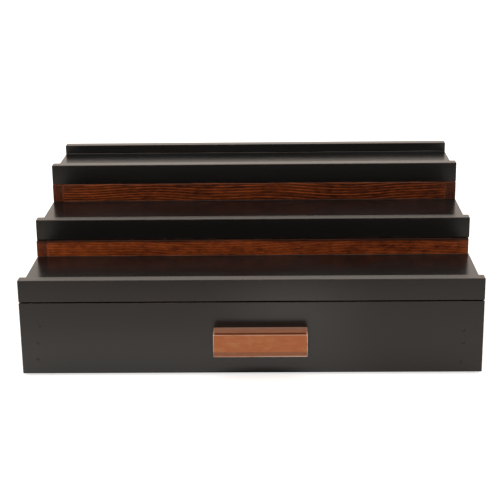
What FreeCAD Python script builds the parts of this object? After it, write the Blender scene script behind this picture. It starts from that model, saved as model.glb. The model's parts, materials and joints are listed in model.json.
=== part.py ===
import FreeCAD, Part
import Sketcher
import os

from FreeCAD import Placement, Rotation, Vector

# Three-tier cologne display stand with one full-width drawer.
# Millimetres. +Z is up, the front faces -Y, +X is to the right seen from the front.
# The origin is on the table, under the middle of the stand and its handle.

doc = FreeCAD.newDocument("cologne_stand")

# Driving sizes: one named value each.
SIZES = {
    # the stand as a whole
    "overall_width": 304.8,
    "tier_depth": 76.2,
    "edge_rounding": 0.5,
    # shelves and their rails
    "shelf_thickness": 7.6,
    "rail_thickness": 8.0,
    "rail_height": 14.6,
    "bottom_rail_drop": 0.3,
    # strips that lift the middle and the top shelf, how far they stand proud of the rails,
    # and how far they stop short of the shelf's right end
    "strip_thickness": 7.6,
    "middle_strip_height": 11.6,
    "middle_strip_proud": 2.2,
    "middle_strip_short": 0.7,
    "top_strip_height": 13.3,
    "top_strip_proud": 0.8,
    "top_strip_short": 0.1,
    # cabinet under the bottom shelf
    "cabinet_height": 50.6,
    "panel_thickness": 8.0,
    "floor_thickness": 4.0,
    "rabbet_depth": 4.0,
    # pads under the corners
    "pad_height": 1.6,
    "pad_radius": 6.0,
    "pad_inset": 9.0,
    # drawer front and the gaps round the drawer
    "front_thickness": 8.0,
    "front_top_gap": 0.7,
    "front_rear_gap": 0.4,
    "drawer_side_gap": 0.8,
    "drawer_under_gap": 0.3,
    "drawer_over_gap": 3.2,
    "drawer_rear_gap": 3.0,
    # drawer box
    "drawer_board": 7.6,
    "drawer_floor_thickness": 3.0,
    "drawer_floor_lift": 5.0,
    "drawer_groove_depth": 3.5,
    "groove_play": 0.1,
    # wooden pull with a finger groove along its top
    "handle_width": 61.4,
    "handle_depth": 14.0,
    "handle_height": 16.0,
    "handle_offset": 6.2,
    "handle_drop": 0.7,
    "handle_rounding": 0.6,
    "bevel_height": 4.3,
    "bevel_depth": 1.4,
    "groove_lip": 1.1,
    "groove_width": 3.4,
    "groove_depth": 4.0,
    "groove_end": 0.9,
    "groove_floor_rounding": 1.2,
    # screws that hold the pull
    "screw_spacing": 38.0,
    "screw_radius": 1.75,
    "screw_play": 0.25,
    "screw_length": 17.5,
    "screw_head_radius": 3.4,
    "screw_head_height": 2.2,
    "screw_slot_width": 0.9,
    "screw_slot_length": 4.4,
    "screw_slot_depth": 1.2,
    # brads: thin headed nails, and the room round a shank in its pilot hole
    "pilot_play": 0.05,
    "brad_radius": 0.6,
    "brad_head_radius": 1.0,
    "brad_head_height": 0.5,
    "brad_set": 0.35,
    "front_brad_length": 25.0,
    "side_brad_length": 22.0,
    "floor_brad_length": 13.0,
}

sheet = doc.addObject("Spreadsheet::Sheet", "Sizes")
for row, (alias, value) in enumerate(SIZES.items(), 1):
    sheet.set(f"A{row}", alias)
    sheet.set(f"B{row}", str(value))
    sheet.setAlias(f"B{row}", alias)
doc.recompute()


def size(alias):
    """The expression that reads one driving size."""
    return f"Sizes.{alias}"


def total(*terms):
    """The expression that adds its terms."""
    return "(" + " + ".join(terms) + ")"


def minus(first, *others):
    """The expression that takes the other terms from the first."""
    return "(" + " - ".join((first,) + others) + ")"


def times(factor, term):
    """The expression that multiplies a term by a plain number."""
    return f"({factor} * {term})"


def value_of(expression):
    """What an expression comes to now, in millimetres."""
    result = sheet.evalExpression(expression)
    return float(getattr(result, "Value", result))


# Planes and levels that several pieces share.
WIDTH = size("overall_width")
LEFT = times(-0.5, WIDTH)
RIGHT = times(0.5, WIDTH)
DEPTH = times(3, size("tier_depth"))
FRONT = times(0.5, minus(size("handle_depth"), DEPTH))
BACK = total(FRONT, DEPTH)

CABINET_BASE = size("pad_height")
CABINET_FRONT = total(FRONT, size("front_thickness"), size("front_rear_gap"))
INNER_LEFT = total(LEFT, size("panel_thickness"))
INNER_WIDTH = minus(WIDTH, times(2, size("panel_thickness")))
INNER_BACK = minus(BACK, size("panel_thickness"))
FLOOR_TOP = total(CABINET_BASE, size("floor_thickness"))

# Underside and top of the three shelves, from the bottom one up.
SHELF_LOW = [total(CABINET_BASE, size("cabinet_height"))]
SHELF_TOP = [total(SHELF_LOW[0], size("shelf_thickness"))]
for tier_name in ("middle", "top"):
    SHELF_LOW.append(total(SHELF_TOP[-1], size(f"{tier_name}_strip_height")))
    SHELF_TOP.append(total(SHELF_LOW[-1], size("shelf_thickness")))
TIER_FRONT = [total(FRONT, times(step, size("tier_depth"))) for step in range(3)]

# The direction of a cut gives the plane its outline is drawn on, whether the
# cut runs along that plane's normal, and the sign of the plane's offset.
CUTS = {
    "+X": ("YZ_Plane", True, 1),
    "-X": ("YZ_Plane", False, 1),
    "+Y": ("XZ_Plane", False, -1),
    "-Y": ("XZ_Plane", True, -1),
    "+Z": ("XY_Plane", True, 1),
    "-Z": ("XY_Plane", False, 1),
}
IN_PLANE = {"YZ_Plane": (1, 2), "XZ_Plane": (0, 2), "XY_Plane": (0, 1)}
HEIGHT_OF = {"YZ_Plane": 0, "XZ_Plane": 1, "XY_Plane": 2}

nodes = {}
low_corner = {}


def add_sketch(body, name, plane, height="0"):
    """An empty sketch on one of the body's own planes, moved along its normal."""
    sketch = body.newObject("Sketcher::SketchObject", name)
    support = [item for item in body.Origin.OriginFeatures if item.Role == plane][0]
    sketch.AttachmentSupport = (support, [""])
    sketch.MapMode = "FlatFace"
    if height != "0":
        sketch.AttachmentOffset = Placement(Vector(0, 0, value_of(height)), Rotation())
        sketch.setExpression("AttachmentOffset.Base.z", height)
    return sketch


def hold(sketch, name, kind, first, second, expression):
    """One sideways or upward distance between two points, driven by an expression."""
    index = sketch.addConstraint(
        Sketcher.Constraint(kind, *first, *second, value_of(expression)))
    sketch.renameConstraint(index, name)
    sketch.setExpression(f"Constraints.{name}", expression)


def draw_outline(sketch, points):
    """A closed outline of straight lines; each corner is held from the sketch's origin."""
    places = [Vector(value_of(across), value_of(up), 0) for across, up in points]
    first = sketch.GeometryCount
    for start, end in zip(places, places[1:] + places[:1]):
        sketch.addGeometry(Part.LineSegment(start, end), False)
    for corner in range(len(points)):
        line = first + corner
        before = first + (corner - 1) % len(points)
        sketch.addConstraint(Sketcher.Constraint("Coincident", before, 2, line, 1))
        hold(sketch, f"across_{line}", "DistanceX", (-1, 1), (line, 1), points[corner][0])
        hold(sketch, f"up_{line}", "DistanceY", (-1, 1), (line, 1), points[corner][1])


def draw_rectangle(sketch, low, span):
    """A rectangle from its low corner and its two sides."""
    high = (total(low[0], span[0]), total(low[1], span[1]))
    draw_outline(sketch, [low, (high[0], low[1]), high, (low[0], high[1])])


def draw_circle(sketch, centre, radius):
    """A circle held by its centre and radius."""
    middle = Vector(value_of(centre[0]), value_of(centre[1]), 0)
    index = sketch.addGeometry(Part.Circle(middle, Vector(0, 0, 1), value_of(radius)), False)
    hold(sketch, f"across_{index}", "DistanceX", (-1, 1), (index, 3), centre[0])
    hold(sketch, f"up_{index}", "DistanceY", (-1, 1), (index, 3), centre[1])
    wide = sketch.addConstraint(Sketcher.Constraint("Radius", index, value_of(radius)))
    sketch.renameConstraint(wide, f"radius_{index}")
    sketch.setExpression(f"Constraints.radius_{index}", radius)


def place(piece, low):
    """Bind the piece's position to three expressions."""
    for axis, expression in zip("xyz", low):
        piece.setExpression(f"Placement.Base.{axis}", expression)


def round_edges(body, radius, sharp=()):
    """Round the body's edges, except those that lie in the named sides."""
    base = body.Tip
    box = base.Shape.BoundBox
    sides = {
        "left": (0, box.XMin), "right": (0, box.XMax), "front": (1, box.YMin),
        "back": (1, box.YMax), "bottom": (2, box.ZMin), "top": (2, box.ZMax),
    }
    chosen = []
    for number, edge in enumerate(base.Shape.Edges, 1):
        ends = [vertex.Point for vertex in edge.Vertexes]
        lies_in = [side for side, (axis, level) in sides.items()
                   if all(abs(point[axis] - level) < 1e-4 for point in ends)]
        if not any(side in sharp for side in lies_in):
            chosen.append(f"Edge{number}")
    rounding = body.newObject("PartDesign::Fillet", f"{body.Name}_rounding")
    rounding.Base = (base, chosen)
    rounding.Radius = value_of(radius)
    rounding.setExpression("Radius", radius)
    doc.recompute()


def new_body(label, low):
    """An empty body that becomes one node, with its low corner at the given place."""
    body = doc.addObject("PartDesign::Body", label)
    place(body, low)
    nodes[label] = body
    low_corner[label] = low
    return body


def pad(body, sketch, length):
    """Pad a sketch by a driven length."""
    feature = body.newObject("PartDesign::Pad", f"{body.Name}_pad")
    feature.Profile = sketch
    feature.Length = value_of(length)
    feature.setExpression("Length", length)
    doc.recompute()


def board(label, low, span, sharp=()):
    """A flat board with rounded edges: a rectangle on the floor plane, padded upwards."""
    body = new_body(label, low)
    sketch = add_sketch(body, f"{label}_outline", "XY_Plane")
    draw_rectangle(sketch, ("0", "0"), (span[0], span[1]))
    pad(body, sketch, span[2])
    round_edges(body, size("edge_rounding"), sharp)
    return body


def cut(label, name, direction, start, outlines, depth):
    """Cut outlines into a body; places are in the stand's frame, the cut starts at `start`."""
    body = nodes[label]
    low = low_corner[label]
    plane, along_normal, sign = CUTS[direction]
    first, second = IN_PLANE[plane]
    height = times(sign, minus(start, low[HEIGHT_OF[plane]]))
    sketch = add_sketch(body, f"{label}_{name}", plane, height)
    for kind, corner, extent in outlines:
        corner = (minus(corner[0], low[first]), minus(corner[1], low[second]))
        if kind == "rectangle":
            draw_rectangle(sketch, corner, extent)
        else:
            draw_circle(sketch, corner, extent)
    before = body.Shape.Volume
    pocket = body.newObject("PartDesign::Pocket", f"{label}_{name}_cut")
    pocket.Profile = sketch
    pocket.Reversed = along_normal
    pocket.Length = value_of(depth)
    pocket.setExpression("Length", depth)
    doc.recompute()
    if body.Shape.Volume > before - 1e-3:
        raise RuntimeError(f"{label}: the cut {name} removed nothing")


# Cabinet: two sides, a back and a thin floor let into a rabbet along each side.
side_depth = minus(BACK, CABINET_FRONT)
for name, x_low, rabbet_low in (
        ("cabinet_left_side", LEFT, minus(INNER_LEFT, size("rabbet_depth"))),
        ("cabinet_right_side", minus(RIGHT, size("panel_thickness")),
         minus(RIGHT, size("panel_thickness")))):
    board(name, (x_low, CABINET_FRONT, CABINET_BASE),
          (size("panel_thickness"), side_depth, size("cabinet_height")))
    cut(name, "rabbet", "+Y", CABINET_FRONT,
        [("rectangle", (rabbet_low, CABINET_BASE), (size("rabbet_depth"), size("floor_thickness")))],
        side_depth)

board("cabinet_back", (INNER_LEFT, INNER_BACK, FLOOR_TOP),
      (INNER_WIDTH, size("panel_thickness"), minus(size("cabinet_height"), size("floor_thickness"))))
board("cabinet_floor", (minus(INNER_LEFT, size("rabbet_depth")), CABINET_FRONT, CABINET_BASE),
      (total(INNER_WIDTH, times(2, size("rabbet_depth"))), side_depth, size("floor_thickness")),
      sharp=("left", "right"))

# Shelves, each with a rail along its front edge that stands up as a lip. The bottom
# rail also hangs a little below its shelf, towards the drawer front.
BOTTOM_RAIL_LOW = minus(SHELF_LOW[0], size("bottom_rail_drop"))
RAIL_LOW = [BOTTOM_RAIL_LOW] + SHELF_LOW[1:]
for step, tier in enumerate(("bottom", "middle", "top")):
    rail_top = total(SHELF_LOW[step], size("rail_height"))
    board(f"{tier}_front_rail", (LEFT, TIER_FRONT[step], RAIL_LOW[step]),
          (WIDTH, size("rail_thickness"), minus(rail_top, RAIL_LOW[step])))
    shelf_front = total(TIER_FRONT[step], size("rail_thickness"))
    shelf_depth = minus(BACK, shelf_front)
    if tier == "top":
        shelf_depth = minus(shelf_depth, size("rail_thickness"))
    board(f"{tier}_shelf", (LEFT, shelf_front, SHELF_LOW[step]),
          (WIDTH, shelf_depth, size("shelf_thickness")), sharp=("front",))
board("top_back_rail", (LEFT, minus(BACK, size("rail_thickness")), SHELF_LOW[2]),
      (WIDTH, size("rail_thickness"), size("rail_height")))

# Frames of four strips that lift the middle and the top shelf. The middle frame's front
# strip runs on to the right end and covers the right strip; the other side strips show
# their front ends.
strip = size("strip_thickness")
for step, tier, covered in ((1, "middle", strip), (2, "top", "0")):
    height = size(f"{tier}_strip_height")
    level = SHELF_TOP[step - 1]
    strip_front = minus(TIER_FRONT[step], size(f"{tier}_strip_proud"))
    frame_right = minus(RIGHT, size(f"{tier}_strip_short"))
    between = minus(frame_right, LEFT, times(2, strip))
    strip_depth = minus(BACK, strip_front)
    board(f"{tier}_riser_front", (total(LEFT, strip), strip_front, level),
          (total(between, covered), strip, height))
    board(f"{tier}_left_strip", (LEFT, strip_front, level), (strip, strip_depth, height))
    board(f"{tier}_right_strip", (minus(frame_right, strip), total(strip_front, covered), level),
          (strip, minus(strip_depth, covered), height))
    board(f"{tier}_back_strip", (total(LEFT, strip), minus(BACK, strip), level),
          (between, strip, height))

# Drawer: the front covers the cabinet; behind it two sides, a back and a grooved-in floor.
drawer = size("drawer_board")
FRONT_INNER = total(FRONT, size("front_thickness"))
BOX_LEFT = total(INNER_LEFT, size("drawer_side_gap"))
BOX_WIDTH = minus(INNER_WIDTH, times(2, size("drawer_side_gap")))
BOX_LOW = total(FLOOR_TOP, size("drawer_under_gap"))
BOX_HEIGHT = minus(SHELF_LOW[0], BOX_LOW, size("drawer_over_gap"))
BOX_BACK = minus(INNER_BACK, size("drawer_rear_gap"))
BOX_DEPTH = minus(BOX_BACK, FRONT_INNER)
FRONT_HEIGHT = minus(BOTTOM_RAIL_LOW, size("front_top_gap"), CABINET_BASE)
DRAWER_FLOOR_LOW = total(BOX_LOW, size("drawer_floor_lift"))
DRAWER_FLOOR_TOP = total(DRAWER_FLOOR_LOW, size("drawer_floor_thickness"))
GROOVE_HEIGHT = total(size("drawer_floor_thickness"), size("groove_play"))
GROOVE_ENTRY = minus(size("drawer_groove_depth"), size("groove_play"))
BETWEEN_SIDES = minus(BOX_WIDTH, times(2, drawer))
DRAWER_FLOOR_LEFT = minus(total(BOX_LEFT, drawer), GROOVE_ENTRY)
DRAWER_FLOOR_WIDTH = total(BETWEEN_SIDES, times(2, GROOVE_ENTRY))
DRAWER_FLOOR_FRONT = minus(FRONT_INNER, GROOVE_ENTRY)

board("drawer_front", (LEFT, FRONT, CABINET_BASE), (WIDTH, size("front_thickness"), FRONT_HEIGHT))
groove_left = minus(total(BOX_LEFT, drawer), size("drawer_groove_depth"))
groove_width = total(BETWEEN_SIDES, times(2, size("drawer_groove_depth")))
cut("drawer_front", "floor_groove", "-Y", FRONT_INNER,
    [("rectangle", (groove_left, DRAWER_FLOOR_LOW), (groove_width, GROOVE_HEIGHT))],
    size("drawer_groove_depth"))

for name, x_low, groove_low in (
        ("drawer_left_side", BOX_LEFT, groove_left),
        ("drawer_right_side", minus(total(BOX_LEFT, BOX_WIDTH), drawer),
         minus(total(BOX_LEFT, BOX_WIDTH), drawer))):
    board(name, (x_low, FRONT_INNER, BOX_LOW), (drawer, BOX_DEPTH, BOX_HEIGHT), sharp=("front",))
    cut(name, "floor_groove", "+Y", FRONT_INNER,
        [("rectangle", (groove_low, DRAWER_FLOOR_LOW), (size("drawer_groove_depth"), GROOVE_HEIGHT))],
        BOX_DEPTH)

board("drawer_back", (total(BOX_LEFT, drawer), minus(BOX_BACK, drawer), DRAWER_FLOOR_TOP),
      (BETWEEN_SIDES, drawer, minus(total(BOX_LOW, BOX_HEIGHT), DRAWER_FLOOR_TOP)))
drawer_floor = new_body("drawer_floor", (DRAWER_FLOOR_LEFT, DRAWER_FLOOR_FRONT, DRAWER_FLOOR_LOW))
floor_sketch = add_sketch(drawer_floor, "drawer_floor_outline", "XY_Plane")
draw_rectangle(floor_sketch, ("0", "0"), (DRAWER_FLOOR_WIDTH, minus(BOX_BACK, DRAWER_FLOOR_FRONT)))
pad(drawer_floor, floor_sketch, size("drawer_floor_thickness"))

# Pull: a block with a bevelled foot and a stopped groove for the fingertips along its top.
HANDLE_MIDDLE = size("handle_offset")
HANDLE_LEFT = minus(HANDLE_MIDDLE, times(0.5, size("handle_width")))
HANDLE_LOW = minus(total(CABINET_BASE, times(0.5, minus(FRONT_HEIGHT, size("handle_height")))),
                   size("handle_drop"))
HANDLE_CENTRE = total(HANDLE_LOW, times(0.5, size("handle_height")))
HANDLE_FACE = minus(FRONT, size("handle_depth"))

handle = new_body("drawer_handle", (HANDLE_LEFT, FRONT, HANDLE_LOW))
profile = add_sketch(handle, "handle_profile", "YZ_Plane")
face = times(-1, size("handle_depth"))
draw_outline(profile, [
    ("0", "0"),
    ("0", size("handle_height")),
    (face, size("handle_height")),
    (face, size("bevel_height")),
    (total(face, size("bevel_depth")), "0"),
])
pad(handle, profile, size("handle_width"))
round_edges(handle, size("handle_rounding"), sharp=("back",))
cut("drawer_handle", "finger_groove", "-Z", total(HANDLE_LOW, size("handle_height")),
    [("rectangle",
      (total(HANDLE_LEFT, size("groove_end")), total(HANDLE_FACE, size("groove_lip"))),
      (minus(size("handle_width"), times(2, size("groove_end"))), size("groove_width")))],
    size("groove_depth"))

groove_floor = value_of(minus(size("handle_height"), size("groove_depth")))
bottom_edges = []
for number, edge in enumerate(handle.Tip.Shape.Edges, 1):
    heights = [vertex.Z for vertex in edge.Vertexes]
    long_enough = edge.Length > 2 * value_of(size("groove_width"))
    if long_enough and all(abs(z - groove_floor) < 1e-4 for z in heights):
        bottom_edges.append(f"Edge{number}")
grooved = handle.Tip
hollow = handle.newObject("PartDesign::Fillet", "groove_floor_rounding")
hollow.Base = (grooved, bottom_edges)
hollow.Radius = value_of(size("groove_floor_rounding"))
hollow.setExpression("Radius", size("groove_floor_rounding"))
doc.recompute()

# Two screws hold the pull from inside the drawer.
screw_places = [
    (total(HANDLE_MIDDLE, times(side * 0.5, size("screw_spacing"))), HANDLE_CENTRE)
    for side in (-1, 1)]
screw_hole = total(size("screw_radius"), size("screw_play"))
cut("drawer_front", "screw_holes", "-Y", FRONT_INNER,
    [("circle", spot, screw_hole) for spot in screw_places], size("front_thickness"))
pilot_depth = total(minus(size("screw_length"), size("front_thickness")), size("screw_play"))
cut("drawer_handle", "screw_pilots", "-Y", FRONT,
    [("circle", spot, total(size("screw_radius"), size("pilot_play"))) for spot in screw_places],
    pilot_depth)


def cylinder(name, radius, height, lift="0"):
    """An upright cylinder that starts at a given height on its own axis."""
    piece = doc.addObject("Part::Cylinder", name)
    piece.setExpression("Radius", radius)
    piece.setExpression("Height", height)
    piece.setExpression("Placement.Base.z", lift)
    return piece


def slot_box(name, across, along, height):
    """One bar of the cross in a screw's head, centred on the axis."""
    piece = doc.addObject("Part::Box", name)
    piece.setExpression("Length", across)
    piece.setExpression("Width", along)
    piece.setExpression("Height", height)
    piece.setExpression("Placement.Base.x", times(-0.5, across))
    piece.setExpression("Placement.Base.y", times(-0.5, along))
    piece.setExpression("Placement.Base.z", "-0.01")
    return piece


TURNS = {
    "+X": Rotation(Vector(0, 1, 0), 90),
    "-X": Rotation(Vector(0, 1, 0), -90),
    "+Y": Rotation(Vector(1, 0, 0), -90),
    "-Y": Rotation(Vector(1, 0, 0), 90),
    "+Z": Rotation(),
}


def set_fastener(piece, direction, point):
    """Point a fastener along its driving direction, its head's face at the given place."""
    piece.Placement = Placement(Vector(), TURNS[direction])
    place(piece, point)
    return piece


def screw(name, direction, point):
    """A pan-head wood screw with a cross recess."""
    head = cylinder(f"{name}_head", size("screw_head_radius"), size("screw_head_height"))
    shank = cylinder(f"{name}_shank", size("screw_radius"), size("screw_length"),
                     size("screw_head_height"))
    body = doc.addObject("Part::Fuse", f"{name}_body")
    body.Base = head
    body.Tool = shank
    cross = doc.addObject("Part::Fuse", f"{name}_cross")
    cross.Base = slot_box(f"{name}_bar", size("screw_slot_length"), size("screw_slot_width"),
                          size("screw_slot_depth"))
    cross.Tool = slot_box(f"{name}_post", size("screw_slot_width"), size("screw_slot_length"),
                          size("screw_slot_depth"))
    piece = doc.addObject("Part::Cut", name)
    piece.Base = body
    piece.Tool = cross
    return set_fastener(piece, direction, point)


def brad(name, direction, point, length):
    """A thin nail with a small flat head."""
    piece = doc.addObject("Part::Fuse", name)
    piece.Base = cylinder(f"{name}_head", size("brad_head_radius"), size("brad_head_height"))
    piece.Tool = cylinder(f"{name}_shank", size("brad_radius"),
                          minus(length, size("brad_head_height")), size("brad_head_height"))
    return set_fastener(piece, direction, point)


def group(label, pieces):
    """Like fasteners kept together in one node, each still its own solid."""
    bundle = doc.addObject("Part::Compound", label)
    bundle.Links = pieces
    nodes[label] = bundle


group("handle_screws", [
    screw(f"handle_screw_{number}", "-Y",
          (spot[0], total(FRONT_INNER, size("screw_head_height")), spot[1]))
    for number, spot in enumerate(screw_places, 1)])


def nail(label, direction, face_at, spots, length, through, into):
    """Brads driven from a face through one board and into the next, with their holes."""
    axis = "XYZ".index(direction[1])
    forward = 1 if direction[0] == "+" else -1
    shank = total(size("brad_radius"), size("pilot_play"))
    head = total(size("brad_head_radius"), size("pilot_play"))
    sink = total(size("brad_set"), size("brad_head_height"))
    board_label, board_depth = through
    cut(board_label, f"{label}_seats", direction, face_at,
        [("circle", spot, head) for spot in spots], sink)
    cut(board_label, f"{label}_holes", direction, face_at,
        [("circle", spot, shank) for spot in spots], board_depth)
    start = total(face_at, times(forward, board_depth))
    reach = total(minus(length, board_depth), size("brad_set"), size("pilot_play"))
    cut(into, f"{label}_holes", direction, start,
        [("circle", spot, shank) for spot in spots], reach)
    pieces = []
    for number, spot in enumerate(spots, 1):
        point = list(spot)
        point.insert(axis, total(face_at, times(forward, size("brad_set"))))
        pieces.append(brad(f"{label}_{number}", direction, point, length))
    return pieces


# Brads through the drawer front into the ends of the drawer's sides. They sit a
# little unevenly: share of the front's height, and distance from the middle of
# the side board's end, towards the middle of the drawer.
front_brads = []
for side, side_low, inward, marks in (
        ("left", BOX_LEFT, 1, ((0.690, "1.0"), (0.443, "-1.0"), (0.215, "-1.7"))),
        ("right", minus(total(BOX_LEFT, BOX_WIDTH), drawer), -1,
         ((0.597, "0.4"), (0.419, "0.4"), (0.154, "1.8")))):
    spots = [(total(side_low, times(0.5, drawer), times(inward, offset)),
              total(CABINET_BASE, times(share, FRONT_HEIGHT))) for share, offset in marks]
    front_brads += nail(f"front_{side}_brad", "+Y", FRONT, spots, size("front_brad_length"),
                        ("drawer_front", size("front_thickness")), f"drawer_{side}_side")
group("drawer_front_brads", front_brads)

# Brads through the sides into the ends of the drawer's back and the cabinet's back.
drawer_brads = []
cabinet_brads = []
for side, direction, box_face, panel_face in (
        ("left", "+X", BOX_LEFT, LEFT), ("right", "-X", total(BOX_LEFT, BOX_WIDTH), RIGHT)):
    spots = [(minus(BOX_BACK, times(0.5, drawer)), total(DRAWER_FLOOR_TOP, times(
        share, minus(total(BOX_LOW, BOX_HEIGHT), DRAWER_FLOOR_TOP)))) for share in (0.25, 0.75)]
    drawer_brads += nail(f"box_{side}_brad", direction, box_face, spots, size("side_brad_length"),
                         (f"drawer_{side}_side", drawer), "drawer_back")
    spots = [(minus(BACK, times(0.5, size("panel_thickness"))), total(FLOOR_TOP, times(
        share, minus(size("cabinet_height"), size("floor_thickness"))))) for share in (0.18, 0.5, 0.82)]
    cabinet_brads += nail(f"cabinet_{side}_brad", direction, panel_face, spots, size("side_brad_length"),
                          (f"cabinet_{side}_side", size("panel_thickness")), "cabinet_back")
group("drawer_back_brads", drawer_brads)
group("cabinet_back_brads", cabinet_brads)

# Brads up through the cabinet floor into the sides, beside the pads.
floor_brads = []
for side, x_at in (
        ("left", minus(INNER_LEFT, times(0.5, size("rabbet_depth")))),
        ("right", minus(RIGHT, minus(size("panel_thickness"), times(0.5, size("rabbet_depth")))))):
    spots = [(x_at, total(CABINET_FRONT, times(share, side_depth))) for share in (0.2, 0.5, 0.8)]
    floor_brads += nail(f"floor_{side}_brad", "+Z", CABINET_BASE, spots, size("floor_brad_length"),
                        ("cabinet_floor", size("floor_thickness")), f"cabinet_{side}_side")
group("cabinet_floor_brads", floor_brads)

# Brads up through the drawer's floor into its back.
spots = [(total(LEFT, times(share, WIDTH)), minus(BOX_BACK, times(0.5, drawer)))
         for share in (0.2, 0.5, 0.8)]
group("drawer_floor_brads", nail("drawer_floor_brad", "+Z", DRAWER_FLOOR_LOW, spots,
                                 size("floor_brad_length"),
                                 ("drawer_floor", size("drawer_floor_thickness")), "drawer_back"))

# Round pads under the four corners keep the drawer front off the table.
for side, x_at in (("left", total(LEFT, size("pad_inset"))), ("right", minus(RIGHT, size("pad_inset")))):
    for end, y_at in (("front", total(CABINET_FRONT, size("pad_inset"))),
                      ("back", minus(BACK, size("pad_inset")))):
        pad_piece = doc.addObject("Part::Cylinder", f"pad_{end}_{side}")
        pad_piece.setExpression("Radius", size("pad_radius"))
        pad_piece.setExpression("Height", size("pad_height"))
        place(pad_piece, (x_at, y_at, "0"))
        nodes[pad_piece.Label] = pad_piece

doc.recompute()

# Nothing is written unless every object built and every piece is a valid solid.
for item in doc.Objects:
    if "Invalid" in item.State or "Error" in item.State:
        raise RuntimeError(f"{item.Label} did not build: {item.State}")
for label, piece in nodes.items():
    if piece.Label != label or piece.Shape.isNull() or not piece.Shape.isValid():
        raise RuntimeError(f"{label} has no valid shape")

os.makedirs("parts", exist_ok=True)
for label, piece in nodes.items():
    piece.Shape.exportStep(f"parts/{label}.step")
    print(f"{label}: {len(piece.Shape.Solids)} solid(s), {piece.Shape.Volume / 1000:.2f} cm3")
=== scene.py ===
# %% [markdown]
# This lesson finishes a small wooden display stand for scent bottles: three stepped tiers with
# lips, strips of stained pine between the tiers, and a shallow drawer with a wooden pull. The
# construction model gives every board its true size and place. The work here is what the eye
# sees: softened edges, lacquer, grain, nail marks and felt. The model could be painted as it
# is, but a drawing's edges are too perfect, so every board is made again.

# %% Load the construction model
import json
import math
import random

import bmesh
import bpy
from mathutils import Matrix, Vector


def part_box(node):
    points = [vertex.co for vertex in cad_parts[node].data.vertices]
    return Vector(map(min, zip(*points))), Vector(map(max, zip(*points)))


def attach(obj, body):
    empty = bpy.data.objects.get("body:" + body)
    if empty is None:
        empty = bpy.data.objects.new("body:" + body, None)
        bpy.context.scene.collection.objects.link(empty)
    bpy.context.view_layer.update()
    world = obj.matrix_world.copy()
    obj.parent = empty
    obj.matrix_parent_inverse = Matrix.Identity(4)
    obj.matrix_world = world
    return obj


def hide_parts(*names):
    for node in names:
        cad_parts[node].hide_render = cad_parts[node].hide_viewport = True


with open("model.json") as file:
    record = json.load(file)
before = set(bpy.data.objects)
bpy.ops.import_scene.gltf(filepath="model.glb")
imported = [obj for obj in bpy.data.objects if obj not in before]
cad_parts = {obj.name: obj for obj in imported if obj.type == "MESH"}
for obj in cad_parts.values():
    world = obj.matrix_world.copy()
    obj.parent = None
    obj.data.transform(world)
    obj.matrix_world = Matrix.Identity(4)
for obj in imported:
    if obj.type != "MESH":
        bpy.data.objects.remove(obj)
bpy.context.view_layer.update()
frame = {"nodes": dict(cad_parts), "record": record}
nodes = frame["nodes"]
bodies_of = {name: body for body, names in frame["record"]["behaviour"]["bodies"].items() for name in names}
slots_of = {part["node"]: part["material_slot"] for part in frame["record"]["subparts"]}
MM = 0.001
print("pieces in the construction model:", len(nodes))

# %% [markdown]
# The camera stands where the photograph's camera stood. It could be found by eye, but the rails
# and the drawer give some twenty straight edges, and fitting one camera to all of them leaves
# less than half a pixel. Its place is measured from the middle of the drawer front's lower
# front edge, so it stays right if the pads get thicker.

# %% Camera
YAW, PITCH, ROLL = math.radians(-1.266), math.radians(17.387), math.radians(-0.734)
FROM_FRONT_FOOT = Vector((17.54, -796.2, 334.8)) * MM
front_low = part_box("drawer_front")[0]
front_foot = Vector((0, front_low.y, front_low.z))
camera_data = bpy.data.cameras.new("camera")
camera_data.sensor_width = 36
camera_data.lens = 93.2
camera_data.clip_start = 0.05
camera_data.clip_end = 50
camera = bpy.data.objects.new("camera", camera_data)
bpy.context.scene.collection.objects.link(camera)
bpy.context.scene.camera = camera

forward = Vector((math.sin(YAW) * math.cos(PITCH), math.cos(YAW) * math.cos(PITCH), -math.sin(PITCH)))
level_right = Vector((math.cos(YAW), -math.sin(YAW), 0))
level_up = level_right.cross(forward)
right = math.cos(ROLL) * level_right + math.sin(ROLL) * level_up
up = math.cos(ROLL) * level_up - math.sin(ROLL) * level_right
turned = Matrix((right, up, -forward)).transposed().to_4x4()
camera.matrix_world = Matrix.Translation(front_foot + FROM_FRONT_FOOT) @ turned
print("camera at", [round(value, 4) for value in camera.location])

# %% [markdown]
# A finish is a recipe of nodes. Wiring nodes one by one hides the recipe, so a small class
# stands for one output of a node and lets Python's own signs add the Math nodes.


# %% Sums of node outputs
class Socket:
    """One output of a node. Python's operators on it add Math nodes."""

    def __init__(self, recipe, output):
        self.recipe = recipe
        self.output = output

    def math(self, operation, *values):
        return self.recipe.node("Math", {"operation": operation}, dict(enumerate(values)))

    def __add__(self, other):
        return self.math("ADD", self, other)

    def __radd__(self, other):
        return self.math("ADD", other, self)

    def __sub__(self, other):
        return self.math("SUBTRACT", self, other)

    def __rsub__(self, other):
        return self.math("SUBTRACT", other, self)

    def __mul__(self, other):
        return self.math("MULTIPLY", self, other)

    def __rmul__(self, other):
        return self.math("MULTIPLY", other, self)

    def __truediv__(self, other):
        return self.math("DIVIDE", self, other)

    def __pow__(self, other):
        return self.math("POWER", self, other)

    def fraction(self):
        return self.math("FRACT", self)

    def unsigned(self):
        return self.math("ABSOLUTE", self)

    def smaller(self, other):
        return self.math("MINIMUM", self, other)

    def larger(self, other):
        return self.math("MAXIMUM", self, other)


# %% [markdown]
# A second class holds a node tree and makes every other kind of node with a single method. The
# studio's sky uses it as it is, and a third one adds what only a material has: its surface
# shader and its relief. Each finish is kept under the name of the slot that it fills.


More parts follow.
